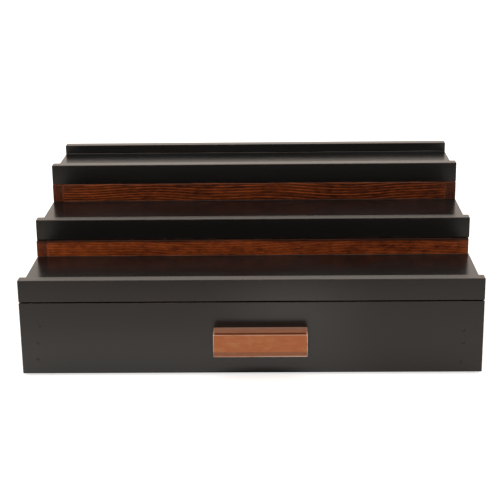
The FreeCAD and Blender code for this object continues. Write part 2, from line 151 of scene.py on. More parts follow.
# %% Node trees and materials
class Recipe:
    """A node tree, and the moves that add nodes to it."""

    def __init__(self, tree, shader):
        self.tree = tree
        self.shader = tree.nodes[shader]

    def node(self, kind, settings=None, sockets=None, output=0):
        made = self.tree.nodes.new("ShaderNode" + kind)
        for name, value in (settings or {}).items():
            if name == "stops":
                ramp = made.color_ramp
                while len(ramp.elements) < len(value):
                    ramp.elements.new(0.5)
                for element, (place, shade) in zip(ramp.elements, value):
                    element.position = place
                    element.color = (shade, shade, shade, 1)
            else:
                setattr(made, name, value)
        for name, value in (sockets or {}).items():
            if isinstance(value, Socket):
                self.tree.links.new(value.output, made.inputs[name])
            else:
                made.inputs[name].default_value = value
        return Socket(self, made.outputs[output])

    def feed(self, socket, value):
        self.tree.links.new(value.output, self.shader.inputs[socket])

    def vector(self, operation, *values):
        return self.node("VectorMath", {"operation": operation}, dict(enumerate(values)))

    def noise(self, place, stretch, detail=2.0, roughness=0.5):
        """Noise from 0 to 1 that changes over about 1 / stretch along each axis."""
        return self.node("TexNoise", {}, {"Vector": self.vector("MULTIPLY", place, stretch), "Scale": 1.0,
                                          "Detail": detail, "Roughness": roughness})

    def fade(self, value, low, high):
        """Rises smoothly from 0 at low to 1 at high, or falls where high is below low."""
        return self.node("MapRange", {"interpolation_type": "SMOOTHSTEP"},
                         {"Value": value, "From Min": low, "From Max": high})

    def blend(self, share, first, second, how="MIX"):
        return self.node("Mix", {"data_type": "RGBA", "blend_type": how}, {0: share, 6: first, 7: second}, 2)


class Finish(Recipe):
    """A material being mixed, with its one surface shader."""

    def __init__(self, name, **fixed):
        self.material = bpy.data.materials.new(name)
        self.material.use_nodes = True
        super().__init__(self.material.node_tree, "Principled BSDF")
        for socket, value in fixed.items():
            self.shader.inputs[socket.replace("_", " ")].default_value = value

    def relief(self, height, depth):
        """Small unevenness of the surface, depth in metres where height goes from 0 to 1."""
        self.feed("Normal", self.node("Bump", {}, {"Strength": 1.0, "Distance": depth, "Height": height}))


def colour(red, green, blue):
    return (red, green, blue, 1.0)


FINISHES = {}


def keep(slot, material):
    FINISHES[slot] = material
    print(f"{slot}: a finish of {len(material.node_tree.nodes)} nodes")


# %% [markdown]
# Every board remembers the plank it was sawn from. When a board is made, five values are
# written on its points: `place`, the distance from the board's middle in millimetres with the
# grain as the first axis, `reach`, half the board's size, `plank`, the place moved to another
# part of the tree for each board, `stain`, how light its wood or lacquer is, with painted shade
# in it on the pull, how strongly its rings show and how much darker its top edge is made, and
# `handled`, how much a rounding is rubbed. One material then serves all boards, and still no
# two are alike. The edge mask below comes from the same values: on a face one distance to the
# sides is nought, so the second smallest of the three is the distance to the nearest edge.


# %% What a board tells its finish
def board_value(finish, name):
    return finish.node("Attribute", {"attribute_name": name}, output="Vector")


def split(finish, vector):
    """The three numbers of a vector."""
    return [finish.node("SeparateXYZ", {}, {0: vector}, axis) for axis in range(3)]


def rim_distance(finish):
    """Distance along the surface from the board's nearest edge, and from its end, in millimetres."""
    inside = finish.vector("SUBTRACT", board_value(finish, "reach"),
                           finish.vector("ABSOLUTE", board_value(finish, "place")))
    end, side, face = split(finish, inside)
    return end.smaller(side).larger(end.larger(side).smaller(face)), end


# %% [markdown]
# The stand is lacquered black, but not dead black: it is a satin coat that shows the light as
# soft grey sheets on every flat top. Real lacquer is never perfectly even. The roughness
# wanders a little where the cloth rubbed it, a faint swell of the grain lies under it, and
# along the edges, where hands and dusters pass, the coat is thin and the brown wood comes
# through. Here and there an edge has lost a chip, and fine dust lies on what faces upwards. A
# plain black with one roughness would give the same mirror everywhere, so each of these has a
# noise of its own length.


# %% Black lacquer
def black_lacquer():
    coat = Finish("black_lacquer", Roughness=0.3)
    plank = board_value(coat, "plank")
    edge, _ = rim_distance(coat)
    handling = coat.noise(plank, (0.011, 0.02, 0.02), detail=3)
    cloth = coat.noise(plank, (0.06, 0.9, 0.9), detail=3)
    grain = coat.noise(plank, (0.045, 1.6, 1.6), detail=4, roughness=0.6)
    peel = coat.noise(plank, (0.9, 0.9, 0.9), detail=1)
    rubbing = coat.noise(plank, (0.09, 0.35, 0.35), detail=4, roughness=0.65)

    lightness = split(coat, board_value(coat, "stain"))[0]
    body = coat.blend(handling, colour(0.0014, 0.0014, 0.0014), colour(0.003, 0.0027, 0.0026))
    body = coat.blend(1.0, body, lightness, "MULTIPLY")
    thin = coat.fade(edge, 1.1, 0.15) * coat.fade(rubbing, 0.42, 0.66)
    body = coat.blend(thin * 0.5, body, colour(0.04, 0.022, 0.014))
    chip = coat.fade(coat.noise(plank, (0.3, 0.5, 0.5), detail=1), 0.77, 0.8) * coat.fade(edge, 0.7, 0.35)
    body = coat.blend(chip, body, colour(0.12, 0.085, 0.06))
    upwards = split(coat, coat.node("NewGeometry", output="Normal"))[2]
    dust = coat.fade(upwards, 0.8, 1.0) * (0.3 + 0.7 * coat.fade(handling, 0.35, 0.65))
    coat.feed("Base Color", coat.blend(dust, body, colour(0.007, 0.0092, 0.0102)))
    coat.feed("Roughness", 0.185 + handling * 0.05 + cloth * 0.04 + thin * 0.15)
    coat.relief(peel * 0.5 + grain * 0.5, 0.00001)
    return coat.material


keep("black_lacquer", black_lacquer())

# %% [markdown]
# The strips between the tiers are pine under a red-brown stain. Pine is striped because the
# soft spring wood and the hard summer wood of each year alternate, and stain turns the stripes
# round: the spring wood drinks it and goes dark, and the summer wood stays a thin lighter
# line. A stretched noise alone would look like smeared paint, so the growth rings are made as
# they grow: the distance from the heart of the tree, bent a little by slow noises, is cut into
# years, and the board shows whatever its faces slice. Over the rings the stain is mottled and
# flecked, cut ends drink more of it, rubbed edges are paler, and a strip may be made darker
# towards its upper edge, just under the rail. The same recipe with calmer, wider rings makes
# the pale pull, and a darker one the drawer's sides and back.


# %% Stained wood
SUMMER = [(0.0, 0.0), (0.58, 0.0), (0.71, 0.55), (0.79, 1.0), (0.87, 0.6), (0.96, 0.0)]
HEART_ACROSS, HEART_DEEP = 9.0, 62.0
RINGS_SWAY, RINGS_RIPPLE = 16.0, 0.7
TOP_EDGE_DARK = colour(0.004, 0.0025, 0.002)


def stained_wood(name, dark, light, rubbed, wear, year, contrast, fibres, mottling, roughness,
                 specular, dust=0.0, rim=0.8):
    """Wood under stain; year, the width of a ring, and rim, that of a rubbed edge, in millimetres."""
    wood = Finish(name, Specular_IOR_Level=specular, Sheen_Weight=dust, Sheen_Roughness=0.5)
    plank = board_value(wood, "plank")
    edge, end = rim_distance(wood)
    _, across, deep = split(wood, plank)
    lightness, figure, top_darkening = split(wood, board_value(wood, "stain"))

    sway = wood.noise(plank, (0.007, 0.01, 0.01), detail=1)
    ripple = wood.noise(plank, (0.06, 0.12, 0.12), detail=2)
    heart = ((across + HEART_ACROSS) ** 2 + (deep + HEART_DEEP) ** 2) ** 0.5
    years = (heart + sway * RINGS_SWAY + ripple * RINGS_RIPPLE) / year
    summer = wood.node("ValToRGB", {"stops": SUMMER}, {0: years.fraction()})
    strength = wood.fade(wood.noise(plank, (0.06, 0.5, 0.5), detail=4), 0.36, 0.6)
    fibre = wood.noise(plank, (0.28, 1.7, 1.7), detail=5, roughness=0.7)
    mottle = wood.noise(plank, (0.16, 0.3, 0.3), detail=3)
    cloud = wood.noise(plank, (0.014, 0.07, 0.07), detail=2)
    fleck = wood.fade(wood.noise(plank, (0.16, 2.4, 2.4), detail=1), 0.68, 0.8)

    rings = summer * (0.15 + strength * 0.85) * contrast * figure + (1.0 - figure) * 0.1
    uneven = (fibre - 0.5) * fibres + (mottle - 0.5) * mottling + (cloud - 0.5) * 0.3
    share = rings + uneven + 0.1
    tint = wood.blend(share, dark, light)
    tint = wood.blend(fleck * 0.45, tint, dark)
    cut_end = wood.fade(end, 0.5, 0.1)
    tint = wood.blend(cut_end * 0.45, tint, dark)
    handled = wood.node("Attribute", {"attribute_name": "handled"}, output="Fac")
    rubbing = wood.fade(wood.noise(plank, (0.07, 0.3, 0.3), detail=3), 0.22, 0.55)
    worn = wood.fade(edge, rim, 0.1).larger(handled) * rubbing
    tint = wood.blend(worn * wear, tint, rubbed)
    # A strip is made darker towards its upper edge, over some three millimetres, as much as its stain asks.
    to_sides = wood.vector("SUBTRACT", board_value(wood, "reach"), board_value(wood, "place"))
    below_top = split(wood, to_sides)[2]
    darker_top = wood.fade(below_top + cloud * 2.0, 3.4, 1.2) * top_darkening
    tint = wood.blend(darker_top, tint, TOP_EDGE_DARK)
    wood.feed("Base Color", wood.blend(1.0, tint, lightness, "MULTIPLY"))
    wood.feed("Roughness", roughness + fibre * 0.14 - summer * 0.05 + cut_end * 0.15)
    wood.relief(fibre * 0.6 + summer * 0.5 - fleck * 0.5, 0.00004)
    return wood.material


keep("stained_pine", stained_wood(
    "stained_pine", dark=colour(0.032, 0.0036, 0.0006), light=colour(0.86, 0.19, 0.036),
    rubbed=colour(0.4, 0.15, 0.07), wear=0.65, year=2.0, contrast=1.0, fibres=0.65, mottling=0.4,
    roughness=0.28, specular=0.22))
keep("pull_wood", stained_wood(
    "pull_wood", dark=colour(0.34, 0.093, 0.021), light=colour(0.40, 0.175, 0.058),
    rubbed=colour(0.62, 0.48, 0.39), wear=1.0, year=2.3, contrast=0.2, fibres=0.35, mottling=1.8,
    roughness=0.5, specular=0.5, dust=0.25, rim=0.35))
keep("box_wood", stained_wood(
    "box_wood", dark=colour(0.014, 0.0095, 0.0075), light=colour(0.045, 0.03, 0.022),
    rubbed=colour(0.09, 0.05, 0.03), wear=0.65, year=2.6, contrast=0.7, fibres=0.8, mottling=0.5,
    roughness=0.45, specular=0.4))

# %% [markdown]
# The thin panels, the floor of the drawer and the floor of the stand, are pressed board. It
# has no grain, only a felt of short fibres in all directions, so round noises make it: a fine
# one for the fibres, one for their clumps and a wide one for damp. Things that slid about in
# the drawer left a few pale scuffs, mostly from side to side.


# %% Pressed board
def pressed_board():
    sheet = Finish("panel_board")
    plank = board_value(sheet, "plank")
    fibres = sheet.noise(plank, (1.4, 1.4, 1.4), detail=5, roughness=0.75)
    clumps = sheet.noise(plank, (0.22, 0.3, 0.3), detail=5, roughness=0.7)
    wide = sheet.noise(plank, (0.02, 0.02, 0.02), detail=3)
    scuff = sheet.fade(sheet.noise(plank, (0.02, 0.8, 0.8), detail=2), 0.62, 0.8)
    share = sheet.fade(fibres, 0.3, 0.72) * 0.55 + sheet.fade(clumps, 0.3, 0.7) * 0.45
    tint = sheet.blend(share, colour(0.012, 0.008, 0.006), colour(0.055, 0.034, 0.023))
    tint = sheet.blend(sheet.fade(wide, 0.35, 0.65) * 0.5, tint, colour(0.022, 0.015, 0.012))
    sheet.feed("Base Color", sheet.blend(scuff * 0.3, tint, colour(0.1, 0.075, 0.06)))
    sheet.feed("Roughness", 0.5 + clumps * 0.3)
    sheet.relief(fibres, 0.00006)
    return sheet.material


keep("panel_board", pressed_board())

# %% [markdown]
# The small metal is seen only as dots and two screw heads. Steel is drawn wire: bright, with a
# fine haze of turning marks. The nail heads that show were touched in with the black paint, so
# they are matt and a little uneven. The pads are pressed felt, which scatters light between
# its hairs, so it has sheen and a coarse soft relief.


# %% Metal, painted nail heads and felt
def steel():
    metal = Finish("steel", Metallic=1.0)
    place = metal.node("TexCoord", output="Object")
    haze = metal.noise(place, (900, 900, 900), detail=3)
    metal.feed("Base Color", metal.blend(haze, colour(0.42, 0.41, 0.39), colour(0.6, 0.59, 0.57)))
    metal.feed("Roughness", 0.26 + haze * 0.16)
    metal.relief(haze, 0.000008)
    return metal.material


def painted_heads():
    paint = Finish("brad_heads")
    place = paint.node("TexCoord", output="Object")
    patches = paint.noise(place, (1500, 1500, 1500), detail=3)
    paint.feed("Base Color", paint.blend(patches, colour(0.004, 0.0035, 0.003), colour(0.03, 0.024, 0.02)))
    paint.feed("Roughness", 0.3 + patches * 0.2)
    paint.relief(patches, 0.00003)
    return paint.material


def felt():
    pile = Finish("felt", Sheen_Weight=0.35, Sheen_Roughness=0.5)
    place = pile.node("TexCoord", output="Object")
    hairs = pile.noise(place, (2600, 2600, 2600), detail=4, roughness=0.7)
    clumps = pile.noise(place, (420, 420, 420), detail=2)
    pile.feed("Base Color", pile.blend(hairs, colour(0.008, 0.008, 0.008), colour(0.035, 0.033, 0.031)))
    pile.feed("Roughness", 0.9 + clumps * 0.1)
    pile.relief(hairs * 0.6 + clumps * 0.4, 0.00015)
    return pile.material


keep("steel", steel())
keep("brad_heads", painted_heads())
keep("felt", felt())

# %% [markdown]
# Modelling by hand has a few moves that come back all the time: take one object, go into edit
# mode, select by place, apply a modifier. They are written once here. Selecting by place means
# asking in which sides of the block a point lies, because the corners of a block lie in three
# sides, its edges in two and its faces in one.

# %% Taking and selecting
SIDES = {"left": (0, 0), "right": (0, 1), "front": (1, 0), "back": (1, 1), "bottom": (2, 0), "top": (2, 1)}
TOUCH = 0.01 * MM


def take(piece):
    """Make one object the only selected one, and the active one."""
    bpy.ops.object.select_all(action="DESELECT")
    piece.select_set(True)
    bpy.context.view_layer.objects.active = piece


def sides_of(points, box):
    """The sides of a block in which all the points lie."""
    return {side for side, (axis, end) in SIDES.items()
            if all(abs(point[axis] - box[end][axis]) < TOUCH for point in points)}


def pick(piece, kind, wanted):
    """In edit mode: select the edges or faces that pass the test, and nothing else."""
    bpy.ops.mesh.select_mode(type=kind)
    bpy.ops.mesh.select_all(action="DESELECT")
    mesh = bmesh.from_edit_mesh(piece.data)
    parts = {"EDGE": mesh.edges, "FACE": mesh.faces}[kind]
    for part in [part for part in parts if wanted(part)]:
        part.select_set(True)
    bmesh.update_edit_mesh(piece.data)


def ends_of(edge):
    return [corner.co for corner in edge.verts]


def runs_along(edge, axis):
    start, end = ends_of(edge)
    return abs((end - start).normalized()[axis]) > 0.99


print("sides of a block:", ", ".join(SIDES))

# %% [markdown]
# Everything starts as a cube or a cylinder primitive, and is shaped by a few operators and
# modifiers. These helpers only keep the same settings together, so the steps below stay short.


# %% Primitives and modifiers
def settle(name):
    """Name the new object, and put its place, turn and size into its mesh."""
    piece = bpy.context.object
    piece.name = name
    bpy.ops.object.transform_apply(location=True, rotation=True, scale=True)
    return piece


def block(name, box):
    """A cube stretched between two corners."""
    low, high = box
    bpy.ops.object.select_all(action="DESELECT")
    bpy.ops.mesh.primitive_cube_add(size=1, location=(low + high) / 2)
    bpy.context.object.scale = high - low
    return settle(name)


def cylinder(name, corners, radius, height, middle, turn=(0, 0, 0)):
    bpy.ops.object.select_all(action="DESELECT")
    bpy.ops.mesh.primitive_cylinder_add(vertices=corners, radius=radius, depth=height, location=middle,
                                        rotation=turn)
    return settle(name)


def bevel(width, segments, profile=0.5):
    """In edit mode: round the selected edges; a profile of 0.5 is an arc, and less is hollow."""
    bpy.ops.mesh.bevel(offset=width, offset_type="OFFSET", segments=segments, profile=profile,
                       affect="EDGES")


def finish_modifier(piece, kind, **settings):
    """Add a modifier, set it and apply it at once."""
    take(piece)
    modifier = piece.modifiers.new(kind.lower(), kind)
    for name, value in settings.items():
        setattr(modifier, name, value)
    bpy.ops.object.modifier_apply(modifier=modifier.name)


# %% [markdown]
# Joints and nail seats are cut, as in the workshop, by taking a tool's shape out of the board:
# a long block for a rabbet or a groove, a short cylinder for the seat of a nail's head. The
# Boolean modifier does that. The nails themselves stay the construction model's, so each
# seat's place is read from them: the mesh of a group of nails falls apart into islands, one
# for each nail.

# %% Cutting tools
SEAT_PLAY, SEAT_DEPTH, HEAD_NEAR = 0.05 * MM, 0.85 * MM, 1 * MM


def carve(piece, cutters):
    """Take the cutters out of the piece, all at once, and throw them away."""
    take(cutters[0])
    for cutter in cutters:
        cutter.select_set(True)
    if len(cutters) > 1:
        bpy.ops.object.join()
    tool = bpy.context.object
    finish_modifier(piece, "BOOLEAN", object=tool, operation="DIFFERENCE", solver="EXACT")
    bpy.data.objects.remove(tool)


def islands(node):
    """The box of each separate solid in a node of the construction model."""
    mesh = bmesh.new()
    mesh.from_mesh(nodes[node].data)
    bmesh.ops.remove_doubles(mesh, verts=mesh.verts, dist=TOUCH)
    waiting = set(mesh.verts)
    boxes = []
    while waiting:
        group = [waiting.pop()]
        for vertex in group:
            for edge in vertex.link_edges:
                other = edge.other_vert(vertex)
                if other in waiting:
                    waiting.remove(other)
                    group.append(other)
        boxes.append(tuple(Vector([choose(vertex.co[axis] for vertex in group) for axis in range(3)])
                           for choose in (min, max)))
    mesh.free()
    return sorted(boxes, key=lambda box: tuple(box[0]))


def nail_seats(nails, side, box):
    """Short cylinders where the heads of some nails sit in one side of a board."""
    axis, end = SIDES[side]
    seats = []
    for low, high in islands(nails):
        middle = (low + high) / 2
        across = [other for other in range(3) if other != axis]
        inside = all(box[0][other] < middle[other] < box[1][other] for other in across)
        if not inside or not low[axis] - HEAD_NEAR < box[end][axis] < high[axis] + HEAD_NEAR:
            continue
        middle[axis] = box[end][axis]
        radius = (high[across[0]] - low[across[0]]) / 2 + SEAT_PLAY
        turn = {0: (0, math.pi / 2, 0), 1: (math.pi / 2, 0, 0), 2: (0, 0, 0)}[axis]
        seats.append(cylinder("seat", 24, radius, 2 * SEAT_DEPTH, middle, turn))
    return seats


# %% [markdown]
# What a finish reads is written on the board's points. Which part of the tree a board comes
# from is drawn by lot, from the board's own name, so it is the same in every run. A board may
# also bring a stain of its own, which is a function of the point. A material for each board
# would do as well, but then a change to the recipe would have to be made many times.

# %% The plank of a board
PLANK_SHIFTS = ((0, 900), (-9, 9), (-6, 6))
ALONG_X, ALONG_Y = 0, 1
# How many times lighter than the plain black a few boards are made.
TIMES_LIGHTER = {"drawer_front": 3.4, "bottom_front_rail": 3.4, "middle_front_rail": 1.4,
                 "top_front_rail": 1.0, "top_back_rail": 4.0}


def plain(point):
    """No stain of its own: full lightness, full figure, no darker top edge."""
    return (1.0, 1.0, 0.0)


def lightened(node):
    """A coat made so many times lighter than the plain one."""
    return lambda point: (TIMES_LIGHTER[node], 1.0, 0.0)


def remember_plank(piece, box, grain_axis, stain=plain, on_edge=False):
    """Write on the points what the finish needs to know; on_edge stands the rings upright."""
    low, high = box
    order = (grain_axis, 1 - grain_axis, 2)
    chance = random.Random(piece.name)
    shift = [chance.uniform(least, most) for least, most in PLANK_SHIFTS]
    middle = (low + high) / 2
    points = [vertex.co for vertex in piece.data.vertices]
    reach = [(high[axis] - low[axis]) / 2 / MM for axis in order]
    places = [[(point[axis] - middle[axis]) / MM for axis in order] for point in points]
    sawn = (0, 2, 1) if on_edge else (0, 1, 2)
    planks = [[place[axis] + moved for axis, moved in zip(sawn, shift)] for place in places]
    written = {"place": places, "plank": planks, "reach": [reach] * len(points),
               "stain": [stain(point) for point in points]}
    for name, rows in written.items():
        attribute = piece.data.attributes.new(name, "FLOAT_VECTOR", "POINT")
        attribute.data.foreach_set("vector", [value for row in rows for value in row])
    group = piece.vertex_groups["rounded"].index
    rounded = [sum(entry.weight for entry in vertex.groups if entry.group == group)
               for vertex in piece.data.vertices]
    attribute = piece.data.attributes.new("handled", "FLOAT", "POINT")
    attribute.data.foreach_set("value", rounded)


print("greyed boards:", len(TIMES_LIGHTER))

# %% [markdown]
# A sawn and sanded board has eased edges, about four tenths of a millimetre, and by hand they
# are never quite even. So the edges are bevelled, and a Displace modifier with a cloud texture
# presses only the rounded points a tenth of a millimetre inwards, more here and less there. A
# bevel alone would draw the light along the edge as an even line.

# %% Uneven edges
EASED = 0.38 * MM
UNEVEN = 0.1 * MM


def clouds(name, width):
    """A cloud texture, with swells of about this width."""
    texture = bpy.data.textures.new(name, "CLOUDS")
    texture.noise_scale = width
    return texture


def press_in(piece, share_at, texture, depth, middle=1.0):
    """Press the points in unevenly, each by its share, and keep the shares in a vertex group."""
    group = piece.vertex_groups.new(name="rounded")
    for vertex in piece.data.vertices:
        share = float(share_at(vertex.co))
        if share:
            group.add([vertex.index], share, "REPLACE")
    finish_modifier(piece, "DISPLACE", texture=texture, vertex_group="rounded", strength=depth,
                    mid_level=middle)


sanding = clouds("uneven_sanding", 13 * MM)
print("edges are eased by", round(EASED / MM, 2), "mm")

# %% [markdown]
# A board starts as a block of its node's size, divided along its length to give the cloud
# texture points to move. Where one board is glued flat against another, that edge stays sharp.
# The joints are cut last, so theirs stay sharp too. The flat faces must stay flat to the eye,
# so the last modifier weighs the normals by the size of the faces.

# %% From a block to a board
DIVISION = 14 * MM
SMOOTH_BELOW = math.radians(40)


def hand_over(piece, node):
    """Smooth the piece, give it its finish, and let it stand for its node."""
    take(piece)
    bpy.ops.object.shade_smooth_by_angle(angle=SMOOTH_BELOW)
    finish_modifier(piece, "WEIGHTED_NORMAL", mode="FACE_AREA", weight=50, keep_sharp=True)
    piece.data.materials.clear()
    piece.data.materials.append(FINISHES[slots_of[node]])
    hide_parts(node)
    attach(piece, bodies_of[node])
    print(f"{piece.name}: {len(piece.data.polygons)} faces")


def board(node, grain_axis, glued=(), cuts=None, stain=plain, on_edge=False):
    """One board of the stand; glued names the sides whose edges stay sharp."""
    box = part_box(node)

    def is_eased(edge):
        sides = sides_of(ends_of(edge), box)
        return len(sides) == 2 and not sides & set(glued)

    piece = block(f"{node}_board", box)
    bpy.ops.object.mode_set(mode="EDIT")
    for axis in range(3):
        divisions = int((box[1][axis] - box[0][axis]) / DIVISION)
        if divisions > 1:
            pick(piece, "EDGE", lambda edge: runs_along(edge, axis))
            bpy.ops.mesh.subdivide(number_cuts=divisions - 1)
    pick(piece, "EDGE", is_eased)
    bevel(EASED, 3)
    bpy.ops.object.mode_set(mode="OBJECT")
    press_in(piece, lambda point: not sides_of([point], box), sanding, UNEVEN)
    cutters = cuts(box) if cuts else []
    if cutters:
        carve(piece, cutters)
    remember_plank(piece, box, grain_axis, stain, on_edge)
    hand_over(piece, node)


# %% [markdown]
# The carcass is four boards: two sides with a rabbet along their foot, a back between them and
# a thin floor let into the rabbets. It could be a plain box, but the open drawer shows the
# inside, and the underside shows the floor's joint and its nails.

# %% Carcass
MARGIN = 1 * MM
floor_low, floor_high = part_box("cabinet_floor")


def side_cuts(side):
    """The rabbet for the floor, and the seats of the nails into the back."""
    def cuts(box):
        low, high = box
        rabbet_low = Vector((floor_low.x, low.y - MARGIN, low.z - MARGIN))
        rabbet_high = Vector((floor_high.x, high.y + MARGIN, floor_high.z))
        if side == "left":
            rabbet_high.x = high.x + MARGIN
        else:
            rabbet_low.x = low.x - MARGIN
        return [block("rabbet", (rabbet_low, rabbet_high))] + nail_seats("cabinet_back_brads", side, box)
    return cuts


for side in ("left", "right"):
    board(f"cabinet_{side}_side", ALONG_Y, cuts=side_cuts(side))
board("cabinet_back", ALONG_X, glued=("left", "right"))
board("cabinet_floor", ALONG_X, glued=("left", "right"),
      cuts=lambda box: nail_seats("cabinet_floor_brads", "bottom", box))

# %% [markdown]
# Each tier is a shelf board with a rail glued along its front edge. The rail stands up above
# the shelf as a lip that keeps bottles from walking off. The shelf's front edges are glued,
# so they stay sharp and the joint shows only as a hair line. Some rails are made a lighter
# black than others.

# %% Shelves and rails
TIERS = ("bottom", "middle", "top")
for tier in TIERS:
    board(f"{tier}_shelf", ALONG_X, glued=("front",))
    board(f"{tier}_front_rail", ALONG_X, stain=lightened(f"{tier}_front_rail"))
board("top_back_rail", ALONG_X, stain=lightened("top_back_rail"))

# %% [markdown]
# The strips under the middle and the top shelf form two frames of pine. At the front, the ends
# of the side strips show beside the riser, and there the rings stand upright and faint. The
# middle frame took less stain than the top one, and both are a little darker to the right.

# %% Frames of stained pine
# For each frame: lightness at its left end and at its right, how much figure shows, and how much darker its
# strips are made towards their upper edge.
STAINS = {"middle": (0.84, 0.73, 0.3, 0.9), "top": (0.53, 0.41, 0.8, 0.0)}
FAINT = 0.35


def stain_of(tier, shown=1.0):
    """How a frame took its stain; shown is how much of the rings' figure this board shows."""
    left, right, figure, top_darkening = STAINS[tier]
    low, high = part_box(f"{tier}_shelf")

    def stain(point):
        share = (point.x - low.x) / (high.x - low.x)
        return (left + (right - left) * share, figure * shown, top_darkening)
    return stain


for tier in TIERS[1:]:
    for place in ("riser_front", "back_strip"):
        board(f"{tier}_{place}", ALONG_X, stain=stain_of(tier))
    for side in ("left", "right"):
        board(f"{tier}_{side}_strip", ALONG_Y, stain=stain_of(tier, shown=FAINT), on_edge=True)

# %% [markdown]
# Where two lacquered boards meet at an inside corner, the lacquer gathers and dries as a
# hollow bead, from 0.3 to 1 mm wide. It is hardly a shape, yet it shows in the photograph as a
# fine light line, because somewhere across its hollow it always mirrors the sky. A bump in the
# material couldn't do that, so each bead is a thin block whose outer edge is bevelled inwards,
# and then made uneven like a line drawn by gravity.

# %% Beads of lacquer in the corners
LIP_BEAD, RISER_BEAD, BACK_BEAD = 0.5 * MM, 0.3 * MM, 1.0 * MM
BEVELLED, HOLLOW = 0.92, 0.12
WAVERING, SWELL = 0.6, 0.9
BEAD_DIVISION = 6 * MM
RUBBED_NOWHERE = 10 * MM
running = clouds("running_lacquer", 20 * MM)


def bead(name, joint, opening, length, width):
    """A hollow bead in the corner at joint (y, z), open towards front (-1) or back (+1)."""
    y, z = joint
    rim = y + opening * width
    box = (Vector((-length / 2, min(y, rim), z)), Vector((length / 2, max(y, rim), z + width)))
    piece = block(name, box)
    outer = Vector((0, rim, z + width))
    bpy.ops.object.mode_set(mode="EDIT")
    pick(piece, "EDGE", lambda edge: all((end.yz - outer.yz).length < TOUCH for end in ends_of(edge)))
    bevel(width * BEVELLED, 4, HOLLOW)
    pick(piece, "EDGE", lambda edge: runs_along(edge, 0))
    bpy.ops.mesh.subdivide(number_cuts=int(length / BEAD_DIVISION))
    bpy.ops.object.mode_set(mode="OBJECT")
    press_in(piece, lambda point: abs(point.y - y) > TOUCH and point.z - z > TOUCH, running,
             width * WAVERING, SWELL)
    around = Vector((RUBBED_NOWHERE, RUBBED_NOWHERE, RUBBED_NOWHERE))
    remember_plank(piece, (box[0] - around, box[1] + around), ALONG_X)
    take(piece)
    bpy.ops.object.shade_smooth_by_angle(angle=SMOOTH_BELOW)
    piece.data.materials.append(FINISHES["black_lacquer"])
    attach(piece, "stand")
    print(f"{piece.name}: {len(piece.data.polygons)} faces")


for tier in TIERS:
    shelf_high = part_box(f"{tier}_shelf")[1]
    rail_low, rail_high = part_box(f"{tier}_front_rail")
    bead(f"{tier}_lip_bead", (rail_high.y, shelf_high.z), 1, rail_high.x - rail_low.x - 2 * EASED, LIP_BEAD)
for tier in TIERS[1:]:
    strip_low, strip_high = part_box(f"{tier}_riser_front")
    bead(f"{tier}_riser_bead", (strip_low.y, strip_low.z), -1, 2 * strip_high.x - 2 * EASED, RISER_BEAD)
shelf_low, shelf_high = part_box("top_shelf")
back_joint = (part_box("top_back_rail")[0].y, shelf_high.z)
bead("back_lip_bead", back_joint, -1, shelf_high.x - shelf_low.x - 2 * EASED, BACK_BEAD)

# %% [markdown]
# The drawer is a box of four boards round a thin floor. The floor slides in a groove that runs
# along the sides and the back of the front board, and the back board stands on it. The front
# is as wide as the whole stand and hides the carcass behind it. Its six nail heads, three at
# each end, sit in shallow seats.

# %% Drawer box
PLAY, RUN_OUT = 0.05 * MM, 2 * MM
drawer_floor_low, drawer_floor_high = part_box("drawer_floor")


def floor_groove():
    """The groove that holds the drawer's floor, as a block round the floor's edges."""
    return block("groove", (drawer_floor_low - Vector((PLAY, PLAY, PLAY)),
                            drawer_floor_high + Vector((PLAY, RUN_OUT, PLAY))))


def grooved(nails, side):
    """Cut the floor's groove, and the seats of the nails in one side."""
    return lambda box: [floor_groove()] + nail_seats(nails, side, box)


board("drawer_front", ALONG_X, stain=lightened("drawer_front"), cuts=grooved("drawer_front_brads", "front"))
for side in ("left", "right"):
    board(f"drawer_{side}_side", ALONG_Y, glued=("front",), cuts=grooved("drawer_back_brads", side))
board("drawer_back", ALONG_X, glued=("left", "right"))
board("drawer_floor", ALONG_X, glued=tuple(SIDES),
      cuts=lambda box: nail_seats("drawer_floor_brads", "bottom", box))

# %% [markdown]
# The pull is a block of paler wood with a slanted foot, so that a finger finds its underside,
# and a stopped groove along the top, close behind a narrow lip, for the fingertips. Its sizes
# and the questions that later steps ask about its points and edges come first.

# %% Sizes of the pull
LIP, GROOVE_WIDTH, GROOVE_DEPTH, GROOVE_END = 1.1 * MM, 3.4 * MM, 4.0 * MM, 0.9 * MM
FOOT_RISE, FOOT_SLANT = 4.3 * MM, 1.4 * MM
FLUTE = 1.2 * MM
PULL_EASED = 0.5 * MM
RIM_EASED = 0.25 * MM
TURNS, TURNS_SHARPLY = math.radians(14), math.radians(60)
pull_low, pull_high = pull_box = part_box("drawer_handle")
groove_low = Vector((pull_low.x + GROOVE_END, pull_low.y + LIP, pull_high.z - GROOVE_DEPTH))
groove_high = Vector((pull_high.x - GROOVE_END, groove_low.y + GROOVE_WIDTH, pull_high.z))
foot_point = Vector((0, pull_low.y, pull_low.z + FOOT_RISE))
foot_normal = Vector((0, -FOOT_RISE, -FOOT_SLANT)).normalized()


def within_groove(point, play=TOUCH):
    return all(low - play < value < high + play for low, value, high in zip(groove_low, point, groove_high))


def turning(edge, least=TURNS):
    """Whether the surface turns at this edge."""
    return len(edge.link_faces) == 2 and edge.calc_face_angle() > least


def middle_of(edge):
    return sum(ends_of(edge), Vector()) / 2


def faces_up(face):
    return face.normal.z > 0.9


def is_outer(edge):
    """Whether this is an outer edge of the pull that a hand can reach."""
    glued_edge = all(abs(point.y - pull_high.y) < TOUCH for point in ends_of(edge))
    return turning(edge) and not glued_edge and not within_groove(middle_of(edge))


print("the pull measures", [round(size / MM, 1) for size in pull_high - pull_low], "mm")

